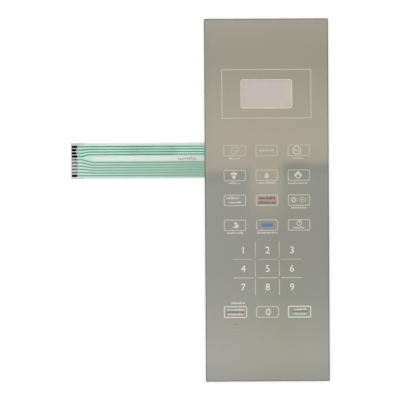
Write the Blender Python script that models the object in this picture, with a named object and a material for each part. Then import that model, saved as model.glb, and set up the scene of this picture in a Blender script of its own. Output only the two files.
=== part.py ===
"""Membrane keypad: a flat laminate of films with a printed face, a display window and a film tail.

Metres, +Z up. The origin is the centre of the rear face. The face looks up and +Y is its top edge.
The laminate lies flat: liner, rear adhesive, lower circuit with the tail, spacer, upper circuit,
overlay adhesive and printed overlay, from the bottom up.
"""

import math

import bmesh
import bpy

# Panel outline
PANEL_WIDTH = 0.098
PANEL_LENGTH = 0.287
PANEL_CORNER_RADIUS = 0.0005
CIRCUIT_INSET = 0.0005

# Thickness of each layer
LINER_THICKNESS = 0.00012
REAR_ADHESIVE_THICKNESS = 0.00013
LOWER_FILM_THICKNESS = 0.000175
SPACER_THICKNESS = 0.0002
UPPER_FILM_THICKNESS = 0.000125
OVERLAY_ADHESIVE_THICKNESS = 0.00013
OVERLAY_THICKNESS = 0.00025
LENS_THICKNESS = 0.0001
STIFFENER_THICKNESS = 0.00025
SILVER_THICKNESS = 0.00002
CARBON_THICKNESS = 0.00002
INSULATOR_THICKNESS = 0.00002
BOND_GAP = 0.00001

# Display window
WINDOW_WIDTH = 0.0413
WINDOW_HEIGHT = 0.0236
WINDOW_CENTRE_Y = 0.0842
WINDOW_CORNER_RADIUS = 0.0022
WINDOW_FRAME_MARGIN_X = 0.01485
WINDOW_FRAME_MARGIN_Y = 0.0077
SIGHT_MARGIN = 0.0012
LENS_LAP = 0.003
LENS_CLEARANCE = 0.0003

# Key positions, from the top row down
FUNCTION_COLUMN_PITCH = 0.0254
DIGIT_COLUMN_PITCH = 0.01905
TOP_ROW_Y = 0.0394
FUNCTION_ROW_PITCH = 0.0197
FUNCTION_ROWS = 4
DIGIT_ROW_PITCH = 0.01465
DIGIT_ROWS = 3
BLOCK_PITCH = 0.01975

# Raised lines and fields of the print
LINE_WIDTH = 0.00065
LINE_HEIGHT = 0.00006
LINE_ROOT = 0.0001
KEY_FRAME_WIDTH = 0.0175
KEY_FRAME_HEIGHT = 0.0089
KEY_FRAME_RADIUS = 0.001
BOTTOM_FRAME_WIDTH = 0.0183
BOTTOM_FRAME_HEIGHT = 0.0092
ROUND_FRAME_RADIUS = 0.0022
GRID_GAP_X = 0.0028
GRID_GAP_Y = 0.0021
FIELD_CLEARANCE = 0.0003
BLUE_BAR_WIDTH = 0.0088
BLUE_BAR_HEIGHT = 0.0036

# Printed circuit
PAD_RADIUS = 0.0035
TRACK_WIDTH = 0.001
BUS_CLEARANCE = 0.001
RETURN_DROP = 0.0095
MARGIN_TRACK_INSET = 0.002
COLUMN_MARGIN_PITCH = 0.0013
ROW_MARGIN_PITCH = 0.002
TRANSFER_PAD_RADIUS = 0.0009
TRANSFER_DOT_RADIUS = 0.0008
TRANSFER_CLEARANCE = 0.0003

# Spacer cells and vents
CELL_CLEARANCE = 0.001
VENT_WIDTH = 0.001

# Tail
TAIL_LENGTH = 0.1057
TAIL_TOP = 0.0461
TAIL_TOP_MARGIN = 0.003
TAIL_BOTTOM_MARGIN = 0.0024
TAIL_CORNER_RADIUS = 0.0005
TAIL_ROOT_RADIUS = 0.0012
TAIL_TRACK_PITCH = 0.00207
FAN_START = 0.0088
ROW_FAN_END = 0.0142
COLUMN_FAN_END = 0.0168
CONTACT_PITCH = 0.00254
LONG_CONTACT_LENGTH = 0.0043
SHORT_CONTACT_LENGTH = 0.0034
CONTACT_END_MARGIN = 0.0005
WIDE_CONTACT_WIDTH = 0.0018
NARROW_CONTACT_WIDTH = 0.0012
LONG_CONTACTS = (0, 3, 4, 5, 6, 9)
NARROW_CONTACTS = (4, 5, 6, 7, 8)
CONTACT_TRACK_END = 0.0009
INSULATOR_START = 0.0051
INSULATOR_TOP_MARGIN = 0.0018
INSULATOR_BOTTOM_MARGIN = 0.0008
INSULATOR_LAP = 0.00085
INSULATOR_CLEARANCE = 0.0003
SLOT_START = 0.015
SLOT_TAPER = 0.0018
STIFFENER_LENGTH = 0.01

# Points on round outlines, and the distance within which a curve's loose caps are welded
PAD_POINTS = 16
CORNER_POINTS = 3
WELD_DISTANCE = 1e-7

# Matrix of row and column lines
KEY_COLUMNS = 3
ROW_LINES = 4
COLUMN_LINES = 6
CONTACTS = ROW_LINES + COLUMN_LINES

# Places that follow from the sizes above
LINER_Z = 0.0
REAR_ADHESIVE_Z = LINER_Z + LINER_THICKNESS + BOND_GAP
LOWER_FILM_Z = REAR_ADHESIVE_Z + REAR_ADHESIVE_THICKNESS + BOND_GAP
LOWER_SILVER_Z = LOWER_FILM_Z + LOWER_FILM_THICKNESS + BOND_GAP
TAIL_PRINT_Z = LOWER_SILVER_Z + SILVER_THICKNESS + BOND_GAP
SPACER_Z = TAIL_PRINT_Z
UPPER_SILVER_Z = SPACER_Z + SPACER_THICKNESS + BOND_GAP
UPPER_FILM_Z = UPPER_SILVER_Z + SILVER_THICKNESS + BOND_GAP
OVERLAY_ADHESIVE_Z = UPPER_FILM_Z + UPPER_FILM_THICKNESS + BOND_GAP
OVERLAY_Z = OVERLAY_ADHESIVE_Z + OVERLAY_ADHESIVE_THICKNESS + BOND_GAP
OVERLAY_TOP_Z = OVERLAY_Z + OVERLAY_THICKNESS
LENS_Z = OVERLAY_ADHESIVE_Z - BOND_GAP - LENS_THICKNESS
STIFFENER_Z = LOWER_FILM_Z - BOND_GAP - STIFFENER_THICKNESS

LEFT_EDGE = -PANEL_WIDTH / 2
FILM_WIDTH = PANEL_WIDTH - 2 * CIRCUIT_INSET
FILM_LENGTH = PANEL_LENGTH - 2 * CIRCUIT_INSET
TAIL_END = LEFT_EDGE - TAIL_LENGTH
FIRST_CONTACT_Y = TAIL_TOP - TAIL_TOP_MARGIN
LAST_CONTACT_Y = FIRST_CONTACT_Y - (CONTACTS - 1) * CONTACT_PITCH
TAIL_BOTTOM = LAST_CONTACT_Y - TAIL_BOTTOM_MARGIN
TAIL_WIDTH = TAIL_TOP - TAIL_BOTTOM
TAIL_CENTRE_Y = (TAIL_TOP + TAIL_BOTTOM) / 2
BUS_OFFSET = PAD_RADIUS + BUS_CLEARANCE + TRACK_WIDTH / 2
WINDOW_CENTRE = (0.0, WINDOW_CENTRE_Y)

# Colour, roughness and metallic value of each material
FACE = ((0.34, 0.31, 0.25), 0.32, 0.55)
LINE = ((0.62, 0.58, 0.46), 0.45, 0.0)
RED_FIELD = ((0.46, 0.22, 0.19), 0.4, 0.0)
GREEN_FIELD = ((0.33, 0.38, 0.27), 0.4, 0.0)
BLUE_FIELD = ((0.08, 0.19, 0.46), 0.4, 0.0)
CLEAR_FILM = ((0.75, 0.82, 0.80), 0.15, 0.0)
LENS = ((0.62, 0.56, 0.51), 0.08, 0.0)
ADHESIVE = ((0.70, 0.69, 0.62), 0.5, 0.0)
SPACER = ((0.72, 0.69, 0.56), 0.45, 0.0)
SILVER = ((0.34, 0.42, 0.38), 0.4, 0.6)
CARBON = ((0.03, 0.03, 0.035), 0.6, 0.0)
INSULATOR = ((0.46, 0.75, 0.65), 0.35, 0.0)
STIFFENER = ((0.72, 0.71, 0.71), 0.45, 0.0)
PAPER = ((0.78, 0.75, 0.68), 0.7, 0.0)


def clear_scene():
    """Remove what the file held before."""
    for obj in list(bpy.data.objects):
        bpy.data.objects.remove(obj)


def new_collection(name):
    """Add a collection to the scene."""
    collection = bpy.data.collections.new(name)
    bpy.context.scene.collection.children.link(collection)
    return collection


def new_material(name, finish):
    """Make a plain Principled material from a colour, a roughness and a metallic value."""
    colour, roughness, metallic = finish
    material = bpy.data.materials.new(name)
    material.use_nodes = True
    shader = material.node_tree.nodes["Principled BSDF"]
    shader.inputs["Base Color"].default_value = (*colour, 1.0)
    shader.inputs["Roughness"].default_value = roughness
    shader.inputs["Metallic"].default_value = metallic
    material.diffuse_color = (*colour, 1.0)
    return material


def arc(centre, radius, start, end, points):
    """Points on an arc, both ends included."""
    turns = [start + (end - start) * i / points for i in range(points + 1)]
    return [(centre[0] + radius * math.cos(a), centre[1] + radius * math.sin(a)) for a in turns]


def circle(centre, radius, points=PAD_POINTS):
    """A round outline."""
    return arc(centre, radius, 0.0, 2 * math.pi, points)[:-1]


def rectangle(centre, width, height, radius=0.0):
    """A rectangular outline, with round corners where a radius is given."""
    x, y = width / 2 - radius, height / 2 - radius
    outline = []
    for quarter, (sx, sy) in enumerate(((1, 1), (-1, 1), (-1, -1), (1, -1))):
        corner = (centre[0] + sx * x, centre[1] + sy * y)
        start = quarter * math.pi / 2
        if radius:
            outline += arc(corner, radius, start, start + math.pi / 2, CORNER_POINTS)
        else:
            outline.append(corner)
    return outline


def frame_line(centre, width, height, radius=0.0):
    """The two outlines of a line drawn round a rectangle, inside its outer size."""
    inner_radius = max(radius - LINE_WIDTH, 0.0)
    outer = rectangle(centre, width, height, radius)
    inner = rectangle(centre, width - 2 * LINE_WIDTH, height - 2 * LINE_WIDTH, inner_radius)
    return [outer, inner]


def network_outline(points, links, width, discs):
    """The outline of tracks that join named points as a tree, with a round disc at some of them.

    The walk goes once round the tree with the tracks on its left, so the outline is one closed loop.
    """
    around = {name: [] for name in points}
    for a, b in links:
        around[a].append(b)
        around[b].append(a)

    def heading(a, b):
        return math.atan2(points[b][1] - points[a][1], points[b][0] - points[a][0])

    for name, ends in around.items():
        ends.sort(key=lambda end: heading(name, end))

    def corner(here, there, after):
        """Outline points passed at there, on the way from here to after."""
        x, y = points[there]
        back, ahead = heading(there, here), heading(there, after)
        if there in discs:
            radius = discs[there]
            half = math.asin(width / 2 / radius)
            turn = (ahead - back) % (2 * math.pi) or 2 * math.pi
            count = max(1, round(turn / (2 * math.pi) * PAD_POINTS))
            return arc((x, y), radius, back + half, back + turn - half, count)
        entry = (-math.sin(back), math.cos(back))
        leave = (math.sin(ahead), -math.cos(ahead))
        if after == here:
            sides = (entry, leave)
        else:
            spread = 1 + entry[0] * leave[0] + entry[1] * leave[1]
            sides = [((entry[0] + leave[0]) / spread, (entry[1] + leave[1]) / spread)]
        return [(x + width / 2 * side_x, y + width / 2 * side_y) for side_x, side_y in sides]

    outline = []
    here, there = links[0]
    for _ in range(2 * len(links)):
        ends = around[there]
        after = ends[(ends.index(here) + 1) % len(ends)]
        outline += corner(here, there, after)
        here, there = there, after
    return outline


def plate(name, loops, bottom, thickness, finish, collection):
    """A flat piece: closed outlines, the inner ones as holes, filled and given a thickness."""
    curve = bpy.data.curves.new(name, "CURVE")
    curve.dimensions = "2D"
    curve.fill_mode = "BOTH"
    curve.extrude = thickness / 2
    for loop in loops:
        spline = curve.splines.new("POLY")
        spline.points.add(len(loop) - 1)
        for point, (x, y) in zip(spline.points, loop):
            point.co = (x, y, 0.0, 1.0)
        spline.use_cyclic_u = True
    obj = bpy.data.objects.new(name, curve)
    obj.location.z = bottom + thickness / 2
    curve.materials.append(new_material(f"{name}_material", finish))
    collection.objects.link(obj)
    return obj


def as_mesh(obj):
    """Turn a filled curve into a closed mesh object of the same name and place."""
    bpy.context.view_layer.update()
    evaluated = obj.evaluated_get(bpy.context.evaluated_depsgraph_get())
    mesh = bpy.data.meshes.new_from_object(evaluated)
    shape = bmesh.new()
    shape.from_mesh(mesh)
    bmesh.ops.remove_doubles(shape, verts=shape.verts, dist=WELD_DISTANCE)
    shape.to_mesh(mesh)
    shape.free()
    name, place, home = obj.name, obj.matrix_world.copy(), obj.users_collection[0]
    bpy.data.objects.remove(obj)
    solid = bpy.data.objects.new(name, mesh)
    solid.matrix_world = place
    home.objects.link(solid)
    return solid


def fuse(base, addition):
    """Join a raised print to its film with a Boolean union."""
    addition.hide_render = True
    addition.display_type = "WIRE"
    union = base.modifiers.new(f"{addition.name}_union", "BOOLEAN")
    union.operation = "UNION"
    union.solver = "EXACT"
    union.material_mode = "TRANSFER"
    union.object = addition


def row_ys():
    """Height of each row of keys, from the top down."""
    rows = [TOP_ROW_Y - i * FUNCTION_ROW_PITCH for i in range(FUNCTION_ROWS)]
    first_digit_row = rows[-1] - BLOCK_PITCH
    rows += [first_digit_row - i * DIGIT_ROW_PITCH for i in range(DIGIT_ROWS)]
    return rows + [rows[-1] - BLOCK_PITCH]


ROWS = row_ys()
DIGIT_ROW_RANGE = range(FUNCTION_ROWS, FUNCTION_ROWS + DIGIT_ROWS)
BOTTOM_ROW = len(ROWS) - 1
LEFT_COLUMN, CENTRE_COLUMN, RIGHT_COLUMN = range(KEY_COLUMNS)
RED_KEY = (FUNCTION_ROWS - 2, CENTRE_COLUMN)
BLUE_KEY = (FUNCTION_ROWS - 1, CENTRE_COLUMN)
CANCEL_KEY = (BOTTOM_ROW, LEFT_COLUMN)
ZERO_KEY = (BOTTOM_ROW, CENTRE_COLUMN)
LAMP_KEY = (BOTTOM_ROW, RIGHT_COLUMN)
ROUND_FRAMES = (BLUE_KEY, ZERO_KEY)


def key_centre(row, column):
    """Centre of a key. The digit keys stand closer together than the others."""
    pitch = DIGIT_COLUMN_PITCH if row in DIGIT_ROW_RANGE else FUNCTION_COLUMN_PITCH
    return ((column - 1) * pitch, ROWS[row])


def tail_track_y(line):
    """Height of a track in the tail. The row lines keep to the top edge, the others to the bottom."""
    if line < ROW_LINES:
        return FIRST_CONTACT_Y - line * TAIL_TRACK_PITCH
    return LAST_CONTACT_Y + (CONTACTS - 1 - line) * TAIL_TRACK_PITCH


def contact_y(line):
    """Height of a contact at the tail's end."""
    return FIRST_CONTACT_Y - line * CONTACT_PITCH


def tail_run(line):
    """Points of a track from the panel's side down the tail to its contact."""
    fan_end = ROW_FAN_END if line < ROW_LINES else COLUMN_FAN_END
    return [
        (TAIL_END + fan_end, tail_track_y(line)),
        (TAIL_END + FAN_START, contact_y(line)),
        (TAIL_END + CONTACT_TRACK_END, contact_y(line)),
    ]


def window_outline(growth=0.0):
    """The window's outline, grown on every side by a margin."""
    width, height = WINDOW_WIDTH + 2 * growth, WINDOW_HEIGHT + 2 * growth
    return rectangle(WINDOW_CENTRE, width, height, max(WINDOW_CORNER_RADIUS + growth, 0.0))


def transfer_centre(row_line):
    """Where a row line passes down through the spacer."""
    outward = (ROW_LINES - 1 - row_line) * ROW_MARGIN_PITCH
    return (LEFT_EDGE + MARGIN_TRACK_INSET + outward, tail_track_y(row_line))


def add_sheets(parts):
    """The full sheets: liner, adhesives, upper film and lens."""
    sheet = rectangle((0, 0), PANEL_WIDTH, PANEL_LENGTH, PANEL_CORNER_RADIUS)
    film = rectangle((0, 0), FILM_WIDTH, FILM_LENGTH, PANEL_CORNER_RADIUS)
    sight = window_outline(-SIGHT_MARGIN)
    lens = window_outline(LENS_LAP)
    lens_opening = window_outline(LENS_LAP + LENS_CLEARANCE)
    plate("release_liner", [sheet], LINER_Z, LINER_THICKNESS, PAPER, parts)
    plate("rear_adhesive", [sheet, sight], REAR_ADHESIVE_Z, REAR_ADHESIVE_THICKNESS, ADHESIVE, parts)
    plate("upper_circuit_film", [film, lens_opening], UPPER_FILM_Z, UPPER_FILM_THICKNESS,
          CLEAR_FILM, parts)
    plate("display_lens", [lens], LENS_Z, LENS_THICKNESS, LENS, parts)
    plate("overlay_adhesive", [sheet, window_outline()], OVERLAY_ADHESIVE_Z,
          OVERLAY_ADHESIVE_THICKNESS, ADHESIVE, parts)


def add_lower_film(parts):
    """The lower circuit film and its tail, cut from one sheet, and the stiffener under the tail."""
    left, right = -FILM_WIDTH / 2, FILM_WIDTH / 2
    top, bottom = FILM_LENGTH / 2, -FILM_LENGTH / 2
    root, tip, quarter = TAIL_ROOT_RADIUS, TAIL_CORNER_RADIUS, math.pi / 2
    upper_root = (left - root, TAIL_TOP + root)
    lower_root = (left - root, TAIL_BOTTOM - root)
    outline = [(right, bottom), (right, top), (left, top)]
    outline += arc(upper_root, root, 0.0, -quarter, CORNER_POINTS)
    outline += arc((TAIL_END + tip, TAIL_TOP - tip), tip, quarter, 2 * quarter, CORNER_POINTS)
    outline += arc((TAIL_END + tip, TAIL_BOTTOM + tip), tip, 2 * quarter, 3 * quarter, CORNER_POINTS)
    outline += arc(lower_root, root, quarter, 0.0, CORNER_POINTS)
    outline.append((left, bottom))
    plate("lower_circuit_film", [outline, window_outline(-SIGHT_MARGIN)], LOWER_FILM_Z,
          LOWER_FILM_THICKNESS, CLEAR_FILM, parts)
    stiffener = rectangle((TAIL_END + STIFFENER_LENGTH / 2, TAIL_CENTRE_Y), STIFFENER_LENGTH,
                          TAIL_WIDTH, TAIL_CORNER_RADIUS)
    plate("tail_stiffener", [stiffener], STIFFENER_Z, STIFFENER_THICKNESS, STIFFENER, parts)


def add_column_line(column_line, parts):
    """A column line: one pad in every second row, a bus beside them, and the run to the tail."""
    column, second = divmod(column_line, 2)
    side = BUS_OFFSET if second else -BUS_OFFSET
    points, links, discs = {}, [], {}
    last = None
    for row in range(second, len(ROWS)):
        x, y = key_centre(row, column)
        points[f"bus_{row}"] = (x + side, y)
        if last:
            links.append((last, f"bus_{row}"))
        last = f"bus_{row}"
        if row % 2 == second:
            points[f"pad_{row}"] = (x, y)
            discs[f"pad_{row}"] = PAD_RADIUS
            links.append((f"bus_{row}", f"pad_{row}"))
    line = ROW_LINES + column_line
    return_y = ROWS[BOTTOM_ROW] - RETURN_DROP - column_line * COLUMN_MARGIN_PITCH
    outward = (COLUMN_LINES - 1 - column_line) * COLUMN_MARGIN_PITCH
    margin_x = LEFT_EDGE + MARGIN_TRACK_INSET + outward
    route = [
        (points[last][0], return_y),
        (margin_x, return_y),
        (margin_x, tail_track_y(line)),
    ] + tail_run(line)
    for i, point in enumerate(route):
        points[f"run_{i}"] = point
        links.append((last, f"run_{i}"))
        last = f"run_{i}"
    outline = network_outline(points, links, TRACK_WIDTH, discs)
    plate(f"column_line_{column_line + 1}", [outline], LOWER_SILVER_Z, SILVER_THICKNESS, SILVER, parts)


def add_row_line(row_line, parts):
    """A row line on the upper film: a bus between two rows, its pads, and the run to its dot."""
    upper, lower = 2 * row_line, 2 * row_line + 1
    bus_y = (ROWS[upper] + ROWS[lower]) / 2
    points, links, discs = {}, [], {}
    taps = []
    for row in (upper, lower):
        for column in range(KEY_COLUMNS):
            pad = f"pad_{row}_{column}"
            points[pad] = key_centre(row, column)
            discs[pad] = PAD_RADIUS
            taps.append((points[pad][0], pad))
    x, y = transfer_centre(row_line)
    points["transfer"] = (x, y)
    discs["transfer"] = TRANSFER_PAD_RADIUS
    points["margin"] = (x, bus_y)
    links.append(("transfer", "margin"))
    last = "margin"
    for tap_x in sorted({tap for tap, _ in taps}):
        node = f"bus_{tap_x:.5f}"
        points[node] = (tap_x, bus_y)
        links.append((last, node))
        links += [(node, pad) for pad_x, pad in taps if pad_x == tap_x]
        last = node
    outline = network_outline(points, links, TRACK_WIDTH, discs)
    plate(f"row_line_{row_line + 1}", [outline], UPPER_SILVER_Z, SILVER_THICKNESS, SILVER, parts)


def add_row_tail_line(row_line, parts):
    """A row line's run on the lower film, from its transfer dot to its contact."""
    route = [transfer_centre(row_line)] + tail_run(row_line)
    points = dict(enumerate(route))
    links = [(i, i + 1) for i in range(len(route) - 1)]
    outline = network_outline(points, links, TRACK_WIDTH, {0: TRANSFER_PAD_RADIUS})
    plate(f"row_tail_line_{row_line + 1}", [outline], LOWER_SILVER_Z, SILVER_THICKNESS, SILVER, parts)


def add_spacer(parts):
    """The spacer: a cell over each key, vents that link them, and the holes for the dots."""
    points, links, cells = {}, [], {}
    vent_y = (ROWS[FUNCTION_ROWS - 1] + ROWS[FUNCTION_ROWS]) / 2
    for column in range(KEY_COLUMNS):
        above, below = key_centre(FUNCTION_ROWS - 1, column), key_centre(FUNCTION_ROWS, column)
        points[f"tee_{column}"] = ((above[0] + below[0]) / 2, vent_y)
        column_points = []
        for row in range(len(ROWS)):
            cell = f"cell_{row}_{column}"
            points[cell] = key_centre(row, column)
            cells[cell] = PAD_RADIUS + CELL_CLEARANCE
            column_points.append(cell)
        column_points.insert(FUNCTION_ROWS, f"tee_{column}")
        links += list(zip(column_points, column_points[1:]))
    links += [(f"tee_{column}", f"tee_{column + 1}") for column in range(KEY_COLUMNS - 1)]
    vented_cells = network_outline(points, links, VENT_WIDTH, cells)
    sheet = rectangle((0, 0), FILM_WIDTH, FILM_LENGTH, PANEL_CORNER_RADIUS)
    hole_radius = TRANSFER_DOT_RADIUS + TRANSFER_CLEARANCE
    holes = [circle(transfer_centre(line), hole_radius) for line in range(ROW_LINES)]
    plate("spacer", [sheet, window_outline(-SIGHT_MARGIN), vented_cells] + holes, SPACER_Z,
          SPACER_THICKNESS, SPACER, parts)
    for line in range(ROW_LINES):
        dot = circle(transfer_centre(line), TRANSFER_DOT_RADIUS)
        plate(f"transfer_dot_{line + 1}", [dot], SPACER_Z, SPACER_THICKNESS, SILVER, parts)


def add_contacts(parts):
    """The dark contacts over the track ends. Some are wider or longer than others."""
    for line in range(CONTACTS):
        width = NARROW_CONTACT_WIDTH if line in NARROW_CONTACTS else WIDE_CONTACT_WIDTH
        length = LONG_CONTACT_LENGTH if line in LONG_CONTACTS else SHORT_CONTACT_LENGTH
        centre_x = TAIL_END + CONTACT_END_MARGIN + length / 2
        outline = rectangle((centre_x, contact_y(line)), length, width)
        plate(f"contact_{line + 1}", [outline], TAIL_PRINT_Z, CARBON_THICKNESS, CARBON, parts)


def add_tail_insulator(parts):
    """The green print over the tail: one sheet at the fan, then a band over each group of tracks."""
    left = TAIL_END + INSULATOR_START
    right = -FILM_WIDTH / 2 - INSULATOR_CLEARANCE
    top, bottom = TAIL_TOP - INSULATOR_TOP_MARGIN, TAIL_BOTTOM + INSULATOR_BOTTOM_MARGIN
    slot_top = tail_track_y(ROW_LINES - 1) - INSULATOR_LAP
    slot_bottom = tail_track_y(ROW_LINES) + INSULATOR_LAP
    slot_middle = (slot_top + slot_bottom) / 2
    slot_left = TAIL_END + SLOT_START
    outline = [
        (left, bottom),
        (right, bottom),
        (right, slot_bottom),
        (slot_left + SLOT_TAPER, slot_bottom),
        (slot_left, slot_middle),
        (slot_left + SLOT_TAPER, slot_top),
        (right, slot_top),
        (right, top),
        (left, top),
    ]
    plate("tail_insulator", [outline], TAIL_PRINT_Z, INSULATOR_THICKNESS, INSULATOR, parts)


def line_loops():
    """Outlines of every raised line: window frame, key frames and digit grid."""
    frame_width = WINDOW_WIDTH + 2 * WINDOW_FRAME_MARGIN_X
    frame_height = WINDOW_HEIGHT + 2 * WINDOW_FRAME_MARGIN_Y
    loops = frame_line(WINDOW_CENTRE, frame_width, frame_height)
    frames = [(row, KEY_FRAME_WIDTH, KEY_FRAME_HEIGHT) for row in range(FUNCTION_ROWS)]
    frames.append((BOTTOM_ROW, BOTTOM_FRAME_WIDTH, BOTTOM_FRAME_HEIGHT))
    for row, width, height in frames:
        for column in range(KEY_COLUMNS):
            radius = ROUND_FRAME_RADIUS if (row, column) in ROUND_FRAMES else KEY_FRAME_RADIUS
            loops += frame_line(key_centre(row, column), width, height, radius)
    upright = DIGIT_ROW_PITCH - GRID_GAP_Y
    level = DIGIT_COLUMN_PITCH - GRID_GAP_X
    for row in DIGIT_ROW_RANGE:
        for side in (-1, 1):
            centre = (side * DIGIT_COLUMN_PITCH / 2, ROWS[row])
            loops.append(rectangle(centre, LINE_WIDTH, upright))
    for row in list(DIGIT_ROW_RANGE)[:-1]:
        for column in range(KEY_COLUMNS):
            centre = (key_centre(row, column)[0], ROWS[row] - DIGIT_ROW_PITCH / 2)
            loops.append(rectangle(centre, level, LINE_WIDTH))
    return loops


def full_field(key):
    """Outline of a coloured field that fills a function key's frame."""
    border = 2 * (LINE_WIDTH + FIELD_CLEARANCE)
    return rectangle(key_centre(*key), KEY_FRAME_WIDTH - border, KEY_FRAME_HEIGHT - border)


def half_field(key):
    """Outline of a coloured field that fills the lower half of a bottom key's frame."""
    x, y = key_centre(*key)
    border = LINE_WIDTH + FIELD_CLEARANCE
    height = BOTTOM_FRAME_HEIGHT / 2 - border
    return rectangle((x, y - height / 2), BOTTOM_FRAME_WIDTH - 2 * border, height)


def add_overlay(parts, guides):
    """The printed face film: the window opening, the raised lines and the fields of colour."""
    sheet = rectangle((0, 0), PANEL_WIDTH, PANEL_LENGTH, PANEL_CORNER_RADIUS)
    overlay = as_mesh(plate("graphic_overlay", [sheet, window_outline()], OVERLAY_Z,
                            OVERLAY_THICKNESS, FACE, parts))
    blue_bar = rectangle(key_centre(*BLUE_KEY), BLUE_BAR_WIDTH, BLUE_BAR_HEIGHT)
    prints = (
        ("raised_lines", line_loops(), LINE),
        ("red_fields", [full_field(RED_KEY), half_field(CANCEL_KEY)], RED_FIELD),
        ("green_field", [half_field(LAMP_KEY)], GREEN_FIELD),
        ("blue_field", [blue_bar], BLUE_FIELD),
    )
    for name, loops, finish in prints:
        raised = plate(name, loops, OVERLAY_TOP_Z - LINE_ROOT, LINE_ROOT + LINE_HEIGHT, finish, guides)
        fuse(overlay, as_mesh(raised))


def build():
    """Build every layer from the bottom up."""
    clear_scene()
    parts = new_collection("membrane_keypad")
    guides = new_collection("print_shapes")
    add_sheets(parts)
    add_lower_film(parts)
    for column_line in range(COLUMN_LINES):
        add_column_line(column_line, parts)
    for row_line in range(ROW_LINES):
        add_row_tail_line(row_line, parts)
        add_row_line(row_line, parts)
    add_spacer(parts)
    add_contacts(parts)
    add_tail_insulator(parts)
    add_overlay(parts, guides)


build()
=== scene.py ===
"""Looks of the membrane keypad: film finishes, the printed legend, the studio and the camera."""

import math
import random

import bmesh
import bpy
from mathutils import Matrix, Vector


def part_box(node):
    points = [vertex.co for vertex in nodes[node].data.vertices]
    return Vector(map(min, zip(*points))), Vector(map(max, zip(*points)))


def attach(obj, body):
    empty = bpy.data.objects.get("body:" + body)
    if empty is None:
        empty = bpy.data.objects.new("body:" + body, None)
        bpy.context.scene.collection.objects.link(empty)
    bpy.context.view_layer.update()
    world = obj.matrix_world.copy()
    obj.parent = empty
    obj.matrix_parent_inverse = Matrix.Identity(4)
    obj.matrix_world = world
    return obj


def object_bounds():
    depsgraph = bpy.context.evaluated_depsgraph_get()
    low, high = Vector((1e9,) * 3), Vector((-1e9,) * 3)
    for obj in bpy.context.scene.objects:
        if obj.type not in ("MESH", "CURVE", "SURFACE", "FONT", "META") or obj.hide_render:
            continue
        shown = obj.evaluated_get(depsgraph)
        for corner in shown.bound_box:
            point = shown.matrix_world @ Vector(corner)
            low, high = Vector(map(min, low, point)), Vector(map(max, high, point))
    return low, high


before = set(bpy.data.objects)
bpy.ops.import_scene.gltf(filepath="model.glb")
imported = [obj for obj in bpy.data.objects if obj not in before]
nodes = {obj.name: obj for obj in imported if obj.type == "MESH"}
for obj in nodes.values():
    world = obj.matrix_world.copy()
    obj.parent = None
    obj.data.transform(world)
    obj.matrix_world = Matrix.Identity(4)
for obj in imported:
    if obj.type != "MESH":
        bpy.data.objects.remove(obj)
cad_low, cad_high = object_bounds()

MM = 0.001

# Levels and places read from the frame
overlay_low, overlay_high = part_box("graphic_overlay")
TAIL_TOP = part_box("lower_circuit_film")[1].z
RAISED_TOP = overlay_high.z
RAISED_HEIGHT = 0.00006
FILM_TOP = RAISED_TOP - RAISED_HEIGHT

# Thickness of printed ink, and how far it stands over what carries it
INK_THICKNESS = 0.000012
INK_LIFT = 0.000004

# How far apart two levels may be and count as one, and two corners
LEVEL_TOLERANCE = 0.000005
WELD_DISTANCE = 1e-7

# Key positions of the printed face
FUNCTION_COLUMN_PITCH = 0.0254
DIGIT_COLUMN_PITCH = 0.0193
DIGIT_SHIFT = 0.0003
FUNCTION_ROWS_Y = (0.0394, 0.0197, 0.0, -0.0197)
DIGIT_ROWS_Y = (-0.03945, -0.0541, -0.06875)
BOTTOM_ROW_Y = -0.0885


def key(row, column):
    """Centre of a function key, rows from the top, columns from the left."""
    return ((column - 1) * FUNCTION_COLUMN_PITCH, FUNCTION_ROWS_Y[row])


def bottom_key(column):
    """Centre of a key in the bottom row."""
    return ((column - 1) * FUNCTION_COLUMN_PITCH, BOTTOM_ROW_Y)


def offset(centre, dx, dy):
    """A point dx, dy millimetres from another."""
    return (centre[0] + dx * MM, centre[1] + dy * MM)


RED_KEY = key(2, 1)
BLUE_KEY = key(3, 1)
CANCEL_KEY = bottom_key(0)
LAMP_KEY = bottom_key(2)


def srgb(red, green, blue):
    """Linear colour from the 0 to 255 values of a display."""
    def linear(value):
        value /= 255
        return value / 12.92 if value <= 0.04045 else ((value + 0.055) / 1.055) ** 2.4

    return (linear(red), linear(green), linear(blue))


def scaled(colour, factor):
    """A colour made lighter or darker, each value at most 1."""
    return tuple(min(value * factor, 1.0) for value in colour)


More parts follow.
